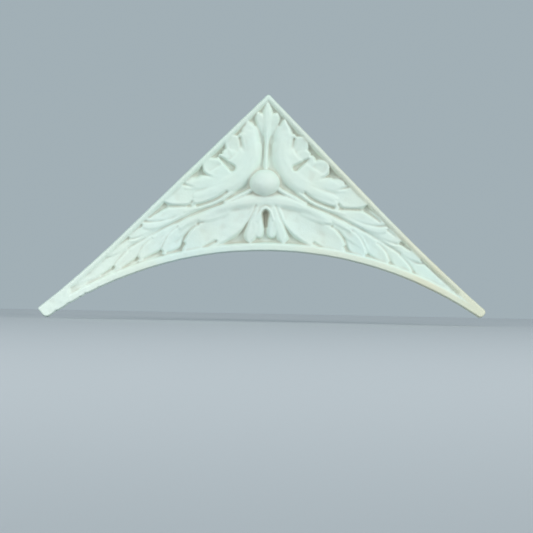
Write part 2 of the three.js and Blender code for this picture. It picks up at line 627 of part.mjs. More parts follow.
// The carving as a slab whose top follows the highest lobe at every point.
function carving() {
  const lobes = [1, -1].flatMap((side) => SPRAY.map((spec) => lobe(side, spec)));
  lobes.push(...STEM.map((spec) => lobe(1, spec)));
  const strokes = [1, -1].flatMap((side) => GOUGING.map((spec) => stroke(side, spec)));
  strokes.push(...EYE.map((spec) => stroke(1, spec)));
  const height = ({ x, y }) => {
    const modelled = lobes.map((one) => one.heightAt(x, y)).reduce(blend, FIELD_HEIGHT);
    const change = strokes.reduce((sum, one) => sum + one.changeAt(x, y), 0);
    return Math.max(FIELD_HEIGHT, ballHeight(x, y), modelled + change);
  };
  const field = fieldOutline(-POCKET_OVERLAP);
  const box = new THREE.Box2().setFromPoints(field);
  const isOverField = (p) =>
    box.containsPoint(p) &&
    p.y < upperEdge(p.x, UPPER_RIM_WIDTH - POCKET_OVERLAP * UPPER_RIM_SLOPE) &&
    p.y > archedFoot(p.x, FOOT_RIM_WIDTH - POCKET_OVERLAP * FOOT_RIM_SLOPE);
  const samples = [...[...lobes, ...strokes].flatMap((one) => one.grid()), ...ballGrid(), ...evenGrid(box)]
    .filter(isOverField)
    .map((p) => new THREE.Vector3(p.x, p.y, height(p)));
  const margin = box.clone().expandByScalar(SLAB_MARGIN);
  const corners = [
    [margin.min.x, margin.min.y],
    [margin.max.x, margin.min.y],
    [margin.max.x, margin.max.y],
    [margin.min.x, margin.max.y],
  ].map(([x, y]) => new THREE.Vector3(x, y, FIELD_HEIGHT));
  const top = fitFacets(corners, samples, CARVING_FACETS);
  const floor = corners.map((p) => new THREE.Vector3(p.x, p.y, FIELD_HEIGHT - SLAB_DEPTH));
  const sides = corners.flatMap((p, i) => {
    const j = (i + 1) % corners.length;
    return [[floor[i], floor[j], corners[j]], [floor[i], corners[j], p]];
  });
  const under = [[floor[0], floor[2], floor[1]], [floor[0], floor[3], floor[2]]];
  const triangles = [...top.map((f) => f.corners), ...sides, ...under];
  const points = [...new Set(triangles.flat())];
  const index = new Map(points.map((p, i) => [p, i]));
  return closedSolid(points.flatMap((p) => p.toArray()), triangles.flat().map((p) => index.get(p)));
}

function mouldingCorner() {
  const sunk = blank().subtract(pocket(FIELD_HEIGHT - POCKET_DEPTH, RIM_HEIGHT + HEADROOM));
  const bed = [FIELD_HEIGHT - BED_DEPTH, BALL_HEIGHT + HEADROOM];
  const prism = ringSolid(bed.map((height) => raised(fieldOutline(-POCKET_OVERLAP), height)));
  return sunk.add(carving().intersect(prism));
}

function toMesh(name, solid, material) {
  const made = solid.getMesh();
  const geometry = new THREE.BufferGeometry();
  geometry.setAttribute("position", new THREE.BufferAttribute(made.vertProperties, 3));
  geometry.setIndex(new THREE.BufferAttribute(made.triVerts, 1));
  geometry.computeVertexNormals();
  const mesh = new THREE.Mesh(geometry, material);
  mesh.name = name;
  return mesh;
}

const whiteResin = new THREE.MeshStandardMaterial({ color: 0xeef3ea, roughness: 0.55, metalness: 0 });

const corner = toMesh("moulding_corner", mouldingCorner(), whiteResin);
corner.rotation.x = Math.PI / 2; // modelled lying on its back, then stood up to face -Y

const part = new THREE.Group();
part.add(corner);

export default part;
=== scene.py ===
import math

import bpy
import numpy as np
from mathutils import Matrix
from mathutils.geometry import delaunay_2d_cdt
from mathutils.kdtree import KDTree


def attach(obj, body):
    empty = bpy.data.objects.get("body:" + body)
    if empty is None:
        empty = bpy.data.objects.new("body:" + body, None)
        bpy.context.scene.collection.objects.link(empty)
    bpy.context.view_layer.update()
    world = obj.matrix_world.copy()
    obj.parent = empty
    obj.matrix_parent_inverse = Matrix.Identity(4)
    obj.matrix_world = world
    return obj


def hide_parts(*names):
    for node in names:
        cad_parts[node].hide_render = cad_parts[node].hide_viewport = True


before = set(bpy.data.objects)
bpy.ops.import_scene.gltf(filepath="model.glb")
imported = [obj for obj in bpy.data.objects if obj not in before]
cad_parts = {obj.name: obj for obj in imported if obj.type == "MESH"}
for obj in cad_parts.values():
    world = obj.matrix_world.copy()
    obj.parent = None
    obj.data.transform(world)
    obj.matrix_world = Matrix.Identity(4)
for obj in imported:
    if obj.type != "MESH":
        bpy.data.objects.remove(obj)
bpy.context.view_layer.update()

# The blank of the moulding corner.
# It is cast in one piece of pale resin in an open mould: a right-angled spandrel with an arched foot and
# two long legs that taper to worn tips. Its back is flat and lies at y = 0, and its carved front faces -Y.
MM = 0.001                                 # the sizes below are millimetres
RIGHT_REACH, LEFT_REACH = 100.0, 101.4     # centre line to each tip's upper corner, without its rounding
RIGHT_SWEEP_START, LEFT_SWEEP_START = 50.0, 66.8   # centre line to where the upper edges sweep out
RIGHT_SWEEP, LEFT_SWEEP = 3.9, 3.6         # how far each has swept out at the tip
APEX_X, APEX_Z = 0.2, 40.8                 # where the two upper edges would meet
ARC_X, ARC_CROWN_Z = 2.4, -30.0            # top of the arched foot
TIP_DEPTH = 5.66                           # how far the foot passes below the right tip's upper corner
APEX_ROUND, RIGHT_TIP_ROUND, LEFT_TIP_ROUND, LEFT_HEEL_ROUND = 1.7, 2.8, 1.2, 3.0
RIM_HEIGHT = 6.4
WALL_DRAFT = 0.9                           # lean of the outer wall, half of it in the rounded edge
EDGE_ROUND = 0.7
OUTLINE_STEP = 0.34                        # spacing of the mesh along the outline
EDGE_POINTS, CORNER_POINTS = 260, 12       # drawn along each edge and round each corner, before that spacing
LONGEST_CUT, CUT_POINTS = 12.0, 2400       # a tip's cut is looked for this far down, at this many places
PAST_APEX = 1.0                            # from the apex's rounding to the first point of an edge
TANGENT_REACH = 5                          # stations each way over which the outline's direction is averaged


def swept_out(x):
    """How far an upper edge has swept out at x, and how far down it runs for each millimetre outwards: the
    sweep times the square of the share of the swept stretch that lies behind, and one less its slope."""
    start = np.where(x > 0, RIGHT_SWEEP_START, LEFT_SWEEP_START)
    length = np.where(x > 0, RIGHT_REACH, LEFT_REACH) - start
    sweep = np.where(x > 0, RIGHT_SWEEP, LEFT_SWEEP)
    share = np.clip(np.abs(x) - start, 0, None) / length
    return sweep * share**2, 1 - 2 * sweep * share / length


def upper_edge(x):
    """Height of an upper edge at x: the apex less the way out to x, plus what the edge has swept out."""
    return APEX_Z - np.abs(x - APEX_X) + swept_out(x)[0]


# The foot's circle runs through its crown and through a point below the right tip.
foot_drop = ARC_CROWN_Z - upper_edge(RIGHT_REACH) + TIP_DEPTH
arc_radius = ((RIGHT_REACH - ARC_X) ** 2 + foot_drop**2) / (2 * foot_drop)
arc_centre_z = ARC_CROWN_Z - arc_radius


def arched_foot(x):
    """Height of the foot at x: a circle of the arc's radius about the arc's centre."""
    return arc_centre_z + np.sqrt(arc_radius**2 - (x - ARC_X) ** 2)


def rounded(before, at, after, radius, most=np.inf):
    """Points of a worn corner: a quadratic curve with the corner as its handle, whose ends lie the radius
    over the tangent of half the corner's angle away from it, at most the given distance."""
    to_start = (before - at) / np.linalg.norm(before - at)
    to_end = (after - at) / np.linalg.norm(after - at)
    reach = min(most, radius / np.tan(np.arccos(np.dot(to_start, to_end)) / 2))
    t = np.linspace(0, 1, CORNER_POINTS)[:, None]
    return at + reach * ((1 - t) ** 2 * to_start + t**2 * to_end)


def leg_edges(side, reach, tip_round, heel_round):
    """Points of one leg from the apex down to its tip and back along the foot to the centre line: the upper
    edge, a tip cut square to it, where the cut meets the foot, and the foot."""
    x = side * np.linspace(APEX_ROUND + PAST_APEX, reach - tip_round, EDGE_POINTS)
    top = np.array([side * reach, upper_edge(side * reach)])
    fall = swept_out(side * reach)[1]
    down = np.array([-side * fall, -1.0]) / np.hypot(fall, 1)
    cut = top + np.linspace(0, LONGEST_CUT, CUT_POINTS)[:, None] * down
    bottom = cut[np.argmin(np.abs(cut[:, 1] - arched_foot(cut[:, 0])))]
    foot_x = np.linspace(bottom[0] - side * heel_round, 0, EDGE_POINTS)
    edge = np.column_stack([x, upper_edge(x)])
    foot = np.column_stack([foot_x, arched_foot(foot_x)])
    half_cut = np.linalg.norm(bottom - top) / 2
    upper_corner = rounded(edge[-1], top, bottom, tip_round, half_cut)
    heel = rounded(top, bottom, foot[0], heel_round, half_cut)
    return np.vstack([edge, upper_corner, heel, foot])


def wave(phase, cycles, seed):
    """Uneven closed wave about zero: the mean of sines of the given whole numbers of cycles round a loop,
    each with its own random start."""
    starts = np.random.default_rng(seed).uniform(0, 2 * np.pi, len(cycles))
    return np.mean(np.sin(phase[:, None] * np.array(cycles) + starts), axis=1)


left = leg_edges(-1, LEFT_REACH, LEFT_TIP_ROUND, LEFT_HEEL_ROUND)
right = leg_edges(1, RIGHT_REACH, RIGHT_TIP_ROUND, RIGHT_TIP_ROUND)[::-1]
apex = rounded(right[-1], np.array([APEX_X, APEX_Z]), left[0], APEX_ROUND)
loop = np.vstack([apex, left[:-1], right, apex[:1]])
travelled = np.concatenate([[0], np.cumsum(np.linalg.norm(np.diff(loop, axis=0), axis=1))])
ring_count = round(travelled[-1] / OUTLINE_STEP)
stations = np.arange(ring_count) * travelled[-1] / ring_count
ring = np.column_stack([np.interp(stations, travelled, loop[:, k]) for k in (0, 1)])


def smoothed(values, reach):
    """Closed row of values, each the mean of its neighbours up to that many steps away."""
    return np.mean([np.roll(values, k, axis=0) for k in range(-reach, reach + 1)], axis=0)


tangent = smoothed(np.roll(ring, -1, axis=0) - np.roll(ring, 1, axis=0), TANGENT_REACH)
inward = np.column_stack([-tangent[:, 1], tangent[:, 0]])
inward /= np.linalg.norm(inward, axis=1, keepdims=True)

# Wear of the outline: all edges have lost a little and waver, slowly and quickly, and the left leg's foot is
# chipped towards its tip. A chip is its place, its radius and its depth.
LOST, SLOW_WAVER, QUICK_WAVER = 0.1, 0.07, 0.06
phase = 2 * np.pi * stations / travelled[-1]
wear = LOST + SLOW_WAVER * wave(phase, [7, 11, 18, 29], 3)
wear = wear + QUICK_WAVER * wave(phase, [47, 61, 83, 97, 131], 5)
CHIPS = np.array([[-79.4, -50.9, 0.9, 0.4], [-82.0, -52.3, 0.6, 0.25], [-87.0, -55.3, 1.0, 0.3],
                  [-92.4, -58.9, 0.9, 0.35], [-73.6, -47.7, 0.7, 0.2], [-99.4, -56.8, 0.7, 0.15]])
chip_far = np.linalg.norm(ring[:, None, :] - CHIPS[None, :, :2], axis=2)
wear = wear + np.sum(CHIPS[:, 3] * np.exp(-((chip_far / CHIPS[:, 2]) ** 2)), axis=1)
ring = ring + inward * wear[:, None]

# Section of the outer wall, as pairs of inset and height: the broken edge of the back, the leaning wall,
# and the quarter turn into the rim's face.
turn = np.linspace(0, np.pi / 2, 6)
wall_inset = np.concatenate([[0.12, 0.0, 0.15, 0.32], WALL_DRAFT * (1 - 0.5 * np.cos(turn))])
wall_height = np.concatenate([[0.0, 0.15, 2.0, 4.0], RIM_HEIGHT - EDGE_ROUND * (1 - np.sin(turn))])

# The carving.
# Cast with the blank: a sunk field inside a plain rim, and on it an acanthus spray that springs from a
# ball. It is blunt low relief, and each leaf is a group of round-backed lobes that flow into each other.
FIELD_HEIGHT = 2.6
UPPER_RIM_WIDTH, UPPER_RIM_SLOPE = 1.5, 2.2   # outline to where the rim starts to fall, and its rounded side
FOOT_RIM_WIDTH, FOOT_RIM_SLOPE = 2.8, 1.5
RIM_BEND = 2.4                                # power by which that side falls, so that it is full at first
FIELD_REACH, FIELD_END_SLOPE = 88.0, 3.5      # where the sunk field ends in each leg, and its slope there
BALL_X, BALL_Z, BALL_RADIUS, BALL_HEIGHT = -0.7, 0.5, 7.1, 9.5
BALL_SQUASH = 0.89                        # its height over its width, seen from the front
CARVING_SPAN = 100.0                      # reach that the tables below are drawn for
SOFTNESS = 1.0                            # height over which neighbouring lobes flow into each other
LOBE_SPREAD = 0.4                         # how far a lobe's rounded foot reaches past its half width
EDGE_MOST = 0.9                           # most of a lobe's half width that its rounded edge takes
RIM_BLEND = 0.3                           # share of the rim's sloping side over which the lobes run out
SPINE_STEPS = 24

# What a lobe has where its own line doesn't say otherwise: height over the back at root and tip, half width
# at the root as a share of the fullest, where it is fullest, the power by which its tip closes, depth of its
# hollow, lift of its left edge, width of its rounded edge, and how far its tip bends down.
LOBE_HABIT = dict(crest=(5.0, 6.0), root_share=0.7, fullest=0.6, point=0.5, scoop=0.45, tilt=0.0, edge=1.7,
                  droop=0.5)

# The spray's lobes, drawn for the right side as root, middle (or None for a straight one), tip and half
# width. The left side is the mirror image, except for what stands under "left".
SPRAY = [
    # bed under the leg's leaflets, and under the leaf's fingers
    dict(root=(15, -6.6), via=(55.5, -26.5), tip=(96, -54.5), half=8.2, crest=(4.6, 5.2), fullest=0.5,
         scoop=0, droop=0, root_share=0.35, edge=1.2, point=0.4),
    dict(root=(9.0, 18), via=(14.6, 7.2), tip=(36, -2.6), half=4.3, crest=(5.1, 5.1), edge=1.8, scoop=0,
         droop=0),
    # hollow of the upper leaf, which bends round the ball and rolls down to it
    dict(root=(7.9, 22), via=(10.4, 4.6), tip=(32, -6.2), half=5.2, crest=(5.5, 5.4), edge=4.6, scoop=0,
         droop=0),
    # its lobes and their side teeth, from the apex round to the leg
    dict(root=(9.5, 6), via=(7.7, 17.5), tip=(7.4, 28.8), half=4.4, crest=(3.8, 6.4), fullest=0.66,
         point=0.62, scoop=0.7, tilt=-0.5, edge=2.8, left=dict(tip=(8.6, 27.9), via=(7.9, 18))),
    dict(root=(7.5, 15.5), via=None, tip=(12.2, 22.3), half=2.9, crest=(4.4, 6.0), edge=1.8,
         fullest=0.75),
    dict(root=(8.0, 8.5), via=None, tip=(16.9, 20.7), half=4.4, crest=(3.8, 6.4), fullest=0.72,
         point=0.42, scoop=1.1),
    dict(root=(10.5, 11.0), via=None, tip=(19.4, 14.0), half=3.0, crest=(3.8, 6.0), fullest=0.75,
         point=0.42, edge=2.2),
    dict(root=(15.5, 3.0), via=None, tip=(20.6, 12.9), half=2.8, crest=(3.8, 6.0), fullest=0.75,
         point=0.42, edge=2.2),
    dict(root=(12.0, 1.5), via=(20.5, 5.8), tip=(28.0, 8.0), half=4.5, crest=(4.0, 6.4), fullest=0.72,
         point=0.38, scoop=1.1),
    dict(root=(23.0, -2.4), via=None, tip=(34.8, 1.2), half=3.3, crest=(3.6, 5.8), fullest=0.75,
         point=0.42, edge=2.6, left=dict(tip=(35.6, 0.8))),
    dict(root=(13.0, -1.5), via=(29.5, -3.6), tip=(45.0, -8.4), half=5.9, crest=(4.6, 6.3), point=0.5,
         scoop=0.9, edge=2.2),
    dict(root=(18.0, -2.0), via=(26.0, -5.8), tip=(32.2, -8.9), half=2.6, crest=(4.8, 6.0)),
    # stem of the leaf under it, and the thin one beside it
    dict(root=(12.0, -4.2), via=(21, -8.2), tip=(36, -13), half=1.7, crest=(4.6, 5.5), fullest=0.4,
         scoop=0),
    dict(root=(5.8, -2.2), via=(12, -5.4), tip=(20, -9.1), half=1.1, crest=(5.0, 4.8), root_share=1,
         scoop=0, edge=0.9),
    # upper leaflets of the leg
    dict(root=(26, -9.6), via=(42, -14.2), tip=(54.2, -20.2), half=4.8, crest=(4.4, 6.1), root_share=0.4,
         scoop=0.3),
    dict(root=(38, -15.8), via=(50.5, -20.7), tip=(61.4, -26.2), half=4.2, crest=(4.4, 6.0),
         root_share=0.5, scoop=0.3),
    dict(root=(48, -21.2), via=(60, -27.4), tip=(70.2, -33.6), half=3.8, crest=(4.4, 5.9), root_share=0.5,
         scoop=0.3),
    # great scooped lobe below the collar, with its upper tooth
    dict(root=(3.0, -6.5), via=(18.6, -17.6), tip=(36.2, -31.0), half=8.3, crest=(5.6, 6.5),
         root_share=0.35, fullest=0.48, point=0.45, scoop=1.9, edge=2.4),
    dict(root=(17.0, -12.9), via=None, tip=(29.3, -16.6), half=2.3, edge=1.8, crest=(4.8, 6.2),
         fullest=0.75),
    # lower leaflets of the leg
    dict(root=(25, -13.8), via=(36.4, -22.4), tip=(45.0, -32.2), half=4.9, crest=(4.5, 6.2), tilt=0.8,
         scoop=1.1, fullest=0.65),
    dict(root=(36, -18.6), via=(47.0, -27.2), tip=(55.6, -35.8), half=4.3, crest=(4.4, 6.1), tilt=0.8,
         scoop=1.0, fullest=0.65),
    dict(root=(47, -24.4), via=(57.6, -32.4), tip=(66.2, -39.6), half=3.7, crest=(4.3, 6.0), tilt=0.7,
         scoop=0.8, fullest=0.65),
    # last leaflet, in the tapering end of the leg
    dict(root=(58, -29.6), via=(71, -37.5), tip=(85.5, -47.6), half=4.2, crest=(4.6, 5.9), fullest=0.4,
         point=0.8, scoop=0.3),
    # side lobe of the bud under the apex
    dict(root=(1.6, 22.4), via=(2.9, 27.2), tip=(4.1, 31.8), half=2.6, crest=(3.8, 6.1), root_share=0.3,
         fullest=0.74, scoop=0.2, edge=2.2, point=0.5),
    # lip of the leaf's foot, along the stem
    dict(root=(5.0, 8), via=(3.9, 14.5), tip=(3.9, 18.5), half=1.6, crest=(3.4, 4.8), scoop=0),
    # hanging lobes of the middle leaf
    dict(root=(1.8, -8.4), via=(3.7, -15.6), tip=(2.5, -24.0), half=3.0, crest=(5.3, 6.0),
         root_share=0.6, fullest=0.74, point=0.34, edge=2.4),
    dict(root=(4.4, -8.0), via=(6.3, -17.0), tip=(8.4, -26.2), half=3.1, crest=(4.9, 6.4), root_share=0.6,
         fullest=0.8, scoop=0.2, point=0.33, edge=2.4, left=dict(tip=(7.0, -26.2), via=(5.6, -17.0))),
]
# What stands on the centre line: the stem, the bud's middle lobe, the collar that the lower half hangs from
# and the lip that joins the hanging lobes.
STEM = [
    dict(root=(-0.5, 4), via=(-0.3, 12), tip=(0, 26), half=0.75, crest=(4.8, 4.9), root_share=2.2,
         fullest=0.6, scoop=0, edge=1.3),
    dict(root=(-0.1, 17), via=(0.1, 27.5), tip=(0, 36.6), half=2.9, crest=(4.4, 6.2), root_share=0.1,
         fullest=0.72, point=0.85, scoop=0, edge=2.6),
    dict(root=(-38, -20.3), via=(0, -7.3), tip=(38, -20.3), half=3.4, crest=(5.4, 5.4), root_share=0.35,
         fullest=0.5, scoop=0, edge=3.2, droop=0),
    dict(root=(-3.7, -16.4), via=(0, -10.6), tip=(3.7, -16.4), half=1.0, crest=(5.7, 5.7), root_share=1,
         point=0.5, scoop=0, edge=1.2, droop=0),
]
# Grooves, as root, middle, tip, half width and depth at both ends.
GOUGING = [
    # creases that run into the leaf from its sinuses, and its drilled eye
    dict(root=(12.2, 20.2), via=None, tip=(10.2, 13.5), half=(1.1, 1.6), depth=(1.7, 0)),
    dict(root=(13.0, 7.4), via=None, tip=(18.6, 11.4), half=(2.0, 0.7), depth=(3.2, 1.1),
         left=dict(root=(15.2, 6.9), tip=(21.8, 12.4), half=(2.0, 0.7), depth=(4.2, 1.2))),
    dict(root=(28.4, 4.2), via=None, tip=(23.5, 2.6), half=(1.1, 0.8), depth=(1.8, 0)),
    dict(root=(36.4, -0.8), via=None, tip=(31, -2.4), half=(1.0, 0.8), depth=(1.2, 0)),
    # groove and notch under its last lobes
    dict(root=(17.4, -3.8), via=(22.6, -7.5), tip=(30, -10.1), half=(1.0, 1.1), depth=(1.2, 1.4)),
    dict(root=(32.4, -8.6), via=None, tip=(34.0, -10.4), half=(1.1, 1.0), depth=(1.2, 0.6)),
    dict(root=(33, -10.5), via=None, tip=(45, -10.8), half=(1.0, 1.1), depth=(0.8, 1.4)),
    # groove that parts the upper half of the spray from the lower
    dict(root=(7.8, -1.2), via=(13.2, -4.6), tip=(20.5, -9.2), half=(1.6, 1.0), depth=(3.0, 1.0)),
    dict(root=(19.0, -8.9), via=(39, -17.5), tip=(60, -29.8), half=(1.2, 1.1), depth=(1.3, 0.7)),
    dict(root=(10, -5.6), via=(13, -6.9), tip=(18, -9.2), half=(0.7, 0.7), depth=(0.3, 0.6)),
    # sinuses of the great lobe
    dict(root=(29.8, -18.2), via=None, tip=(25.0, -16.8), half=(0.9, 0.7), depth=(0.9, 0)),
    dict(root=(21.7, -26.0), via=None, tip=(27, -28.8), half=(1.0, 0.9), depth=(1.5, 0.6)),
    # gap between the bud and the leaf, and the pits between the leaflets and the rim
    dict(root=(6.6, 29.2), via=None, tip=(5.3, 26.2), half=(0.8, 0.7), depth=(1.6, 0.8)),
    dict(root=(44.6, -10.9), via=None, tip=(51, -15.8), half=(1.4, 0.8), depth=(2.4, 0.8)),
    dict(root=(54.5, -19.6), via=None, tip=(58, -22.4), half=(0.9, 0.6), depth=(1.0, 0.4)),
    dict(root=(60.6, -25.2), via=None, tip=(64.8, -28.4), half=(1.1, 0.7), depth=(2.0, 0.8)),
    dict(root=(69.8, -32.8), via=(77, -39.3), tip=(84, -46), half=(0.9, 0.7), depth=(0.9, 0.3)),
    dict(root=(35.6, -27.4), via=(38.2, -29.9), tip=(43, -31.5), half=(1.1, 0.7), depth=(2.0, 0.6)),
    dict(root=(45.4, -31.2), via=None, tip=(53, -34.4), half=(1.1, 0.7), depth=(2.0, 0.6)),
    dict(root=(55.8, -34.4), via=None, tip=(62.5, -38.8), half=(1.1, 0.7), depth=(1.8, 0.6)),
    dict(root=(66.2, -38.6), via=None, tip=(71.5, -42), half=(1.0, 0.7), depth=(1.6, 0.6)),
    # creases outside the lips of the great lobe and of the lower leaflets
    dict(root=(29.6, -18.6), via=(34.6, -23.2), tip=(36.6, -30), half=(0.9, 1.0), depth=(1.0, 1.4)),
    dict(root=(38.8, -19.8), via=(43.4, -24.5), tip=(45.8, -31), half=(0.9, 0.9), depth=(0.7, 1.2)),
    dict(root=(49.8, -25.3), via=(54.0, -29.3), tip=(56.2, -34.8), half=(0.9, 0.9), depth=(0.7, 1.2)),
    dict(root=(60.2, -30.8), via=(64.2, -34.6), tip=(66.8, -39), half=(0.9, 0.8), depth=(0.7, 1.0)),
    # and under the upper leaflets
    dict(root=(53.4, -17.6), via=(46.6, -17.5), tip=(38, -14.6), half=(0.9, 0.7), depth=(0.9, 0.1)),
    dict(root=(62.4, -25.6), via=(55.4, -24.9), tip=(47, -20.2), half=(0.9, 0.7), depth=(0.9, 0.1)),
    dict(root=(70.4, -34.2), via=(64.2, -32.4), tip=(57, -27.4), half=(0.8, 0.7), depth=(0.7, 0.1)),
    # crease between the middle leaf and the great lobe
    dict(root=(4.4, -9.6), via=(7.9, -17.6), tip=(11.4, -23.4), half=(0.9, 1.0), depth=(0.5, 1.8)),
]
# The eye between the hanging lobes is cut last, so that it isn't softened with the rest.
EYE = dict(root=(0, -13.3), via=(0, -15.6), tip=(0.1, -18.8), half=(2.4, 1.1), depth=(1.3, 0.8), steep=3)


def along_spine(line, x, z):
    """Share of a spine at which it passes closest to each point, and how far to its left the point lies: for
    each straight step, the foot of the perpendicular held between its ends, and of all steps the nearest."""
    share, offset, nearest = np.zeros_like(x), np.zeros_like(x), np.full_like(x, np.inf)
    for i, (step_x, step_z) in enumerate(np.diff(line, axis=0)):
        to_x, to_z = x - line[i, 0], z - line[i, 1]
        run = np.clip((to_x * step_x + to_z * step_z) / (step_x**2 + step_z**2), 0, 1)
        far = np.hypot(to_x - run * step_x, to_z - run * step_z)
        closer = far < nearest
        nearest = np.where(closer, far, nearest)
        share = np.where(closer, (i + run) / SPINE_STEPS, share)
        offset = np.where(closer, np.sign(step_x * to_z - step_z * to_x) * far, offset)
    return share, offset


def over_spine(side, own, spread, x, z, measure):
    """Values of a measure of share and offset over the points within reach of a spine, and 0 elsewhere. The
    spine is a quadratic curve whose handle is twice the middle point less the mean of the ends."""
    root, tip = np.array(own["root"], float), np.array(own["tip"], float)
    middle = (root + tip) / 2 if own["via"] is None else np.array(own["via"], float)
    t = np.linspace(0, 1, SPINE_STEPS + 1)[:, None]
    line = (1 - t) ** 2 * root + 2 * t * (1 - t) * (2 * middle - (root + tip) / 2) + t**2 * tip
    low, high = line.min(axis=0) - spread, line.max(axis=0) + spread
    near = (side * x > low[0]) & (side * x < high[0]) & (z > low[1]) & (z < high[1])
    values = np.zeros_like(x)
    values[near] = measure(*along_spine(line, side * x[near], z[near]))
    return values


def lobe(side, spec, x, z):
    """Height of one lobe. Its half width grows as a quarter sine to the fullest place and closes as an
    ellipse raised to point. Its top runs from crest to crest, less the droop times the sixth power of the
    way along, plus the tilt times the way across, less the scoop times one less the square of the way
    across, which runs out at the tip. It falls to the field over the edge band as the square of its share."""
    own = LOBE_HABIT | spec | (spec.get("left", {}) if side < 0 else {})

    def measure(share, offset):
        grown = np.sin(np.pi / 2 * np.minimum(1, share / own["fullest"]))
        growing = own["root_share"] + (1 - own["root_share"]) * grown
        closing = np.clip((share - own["fullest"]) / (1 - own["fullest"]), 0, 1)
        shape = np.where(share < own["fullest"], growing, (1 - closing**2) ** own["point"])
        width = own["half"] * shape + LOBE_SPREAD
        t = offset / width
        rise = (own["crest"][1] - own["crest"][0]) * share
        lip = own["crest"][0] + rise - own["droop"] * share**6 + own["tilt"] * t
        level = lip - own["scoop"] * (1 - t**2) * (1 - share**4)
        band = np.minimum(own["edge"], EDGE_MOST * width)
        fall = np.clip(1 - (width - np.abs(offset)) / band, 0, 1)
        return np.where(np.abs(t) < 1, level + (FIELD_HEIGHT - level) * fall**2, 0)

    return over_spine(side, own, own["half"] + LOBE_SPREAD, x, z, measure)


def groove(side, spec, x, z):
    """Depth of one groove: its own depth times the square of one less a power of the share of its half
    width, the square unless it says how steep it is. Its ends are round."""
    own = spec | (spec.get("left", {}) if side < 0 else {})

    def measure(share, offset):
        half = own["half"][0] + (own["half"][1] - own["half"][0]) * share
        depth = own["depth"][0] + (own["depth"][1] - own["depth"][0]) * share
        return depth * (1 - np.minimum(1, np.abs(offset) / half) ** own.get("steep", 2)) ** 2

    return over_spine(side, own, max(own["half"]), x, z, measure)


def flowing(a, b):
    """The higher of two heights, plus a fillet where they come within SOFTNESS: the square of how much
    nearer they are, over four times SOFTNESS."""
    near = np.maximum(0, SOFTNESS - np.abs(a - b))
    return np.maximum(a, b) + near**2 / (4 * SOFTNESS)


def inside_edges(x, z):
    """How far each point lies inside the upper edge, measured square to it, and inside the arched foot."""
    upper = (upper_edge(x) - z) / np.hypot(1, swept_out(x)[1])
    return upper, np.hypot(x - ARC_X, z - arc_centre_z) - arc_radius


def relief(x, z):
    """Height of the front over the back: the lobes flowing into each other and into the field, less the
    grooves, run out over the rim's side, with the rim, which falls to the field as a power of the share of
    its side, and the ball on top, a half sphere pressed a little flat."""
    leaves = np.full_like(x, FIELD_HEIGHT)
    cut = np.zeros_like(x)
    for side, reach in ((1, RIGHT_REACH), (-1, LEFT_REACH)):
        stretch = reach / CARVING_SPAN
        for spec in SPRAY:
            leaves = flowing(leaves, lobe(side, spec, x / stretch, z))
        for spec in GOUGING:
            cut = cut + groove(side, spec, x / stretch, z)
    for spec in STEM:
        leaves = flowing(leaves, lobe(1, spec, x, z))
    spread = np.minimum(1, np.hypot(x - BALL_X, (z - BALL_Z) / BALL_SQUASH) / BALL_RADIUS)
    ball = FIELD_HEIGHT + (BALL_HEIGHT - FIELD_HEIGHT) * np.sqrt(1 - spread**2)
    upper, foot = inside_edges(x, z)
    past_upper = (upper - UPPER_RIM_WIDTH) / UPPER_RIM_SLOPE
    past_foot = (foot - FOOT_RIM_WIDTH) / FOOT_RIM_SLOPE
    short_of_end = (FIELD_REACH - np.abs(x)) / FIELD_END_SLOPE
    beyond = np.clip(np.minimum(np.minimum(past_upper, past_foot), short_of_end), 0, 1)
    rim = RIM_HEIGHT - (RIM_HEIGHT - FIELD_HEIGHT) * beyond**RIM_BEND
    carved = FIELD_HEIGHT + np.maximum(0, leaves - cut - FIELD_HEIGHT) * np.minimum(1, beyond / RIM_BLEND)
    return np.maximum(flowing(carved, rim), ball)


WAVES = 36


def unevenness(x, z, seed):
    """Slight hand-worked waviness about zero: the sum of plane waves of 3 to 14 mm in random directions, over
    the root of their number."""
    chance = np.random.default_rng(seed)
    length = chance.uniform(3, 14, WAVES)
    bearing = chance.uniform(0, 2 * np.pi, WAVES)
    start = chance.uniform(0, 2 * np.pi, WAVES)
    total = np.zeros_like(x)
    for k in range(WAVES):
        along = x * np.cos(bearing[k]) + z * np.sin(bearing[k])
        total += np.sin(2 * np.pi * along / length[k] + start[k])
    return total / math.sqrt(WAVES)


# The front's mesh: a lattice of points inside the wall's last ring, joined into triangles.
LATTICE_STEP = 0.28
front_ring = ring + inward * wall_inset[-1]
columns = np.arange(ring[:, 0].min(), ring[:, 0].max(), LATTICE_STEP)
rows = np.arange(ring[:, 1].min(), ring[:, 1].max(), LATTICE_STEP * math.sqrt(3) / 2)
lattice_x, lattice_z = np.meshgrid(columns, rows)
lattice_x = lattice_x + np.where(np.arange(len(rows)) % 2, LATTICE_STEP / 2, 0)[:, None]
KEEP_OFF = WALL_DRAFT + 0.35               # how far inside the outline the lattice starts
around = KDTree(ring_count)
for i, (x, z) in enumerate(ring):
    around.insert((x, z, 0), i)
around.balance()
lattice = np.column_stack([lattice_x.ravel(), lattice_z.ravel()])
lattice = lattice[np.min(inside_edges(lattice[:, 0], lattice[:, 1]), axis=0) > KEEP_OFF]
nearest = np.array([around.find((x, z, 0))[1] for x, z in lattice])
inset = np.sum((lattice - ring[nearest]) * inward[nearest], axis=1)
flat = np.vstack([front_ring, lattice[inset > KEEP_OFF]])
ring_index = np.arange(ring_count)
ring_edges = np.column_stack([ring_index, np.roll(ring_index, -1)])
placed, _, triangles, _, _, _ = delaunay_2d_cdt(flat.tolist(), ring_edges.tolist(),
                                                [ring_index.tolist()], 1, 1e-6)
placed = np.array([tuple(p) for p in placed])

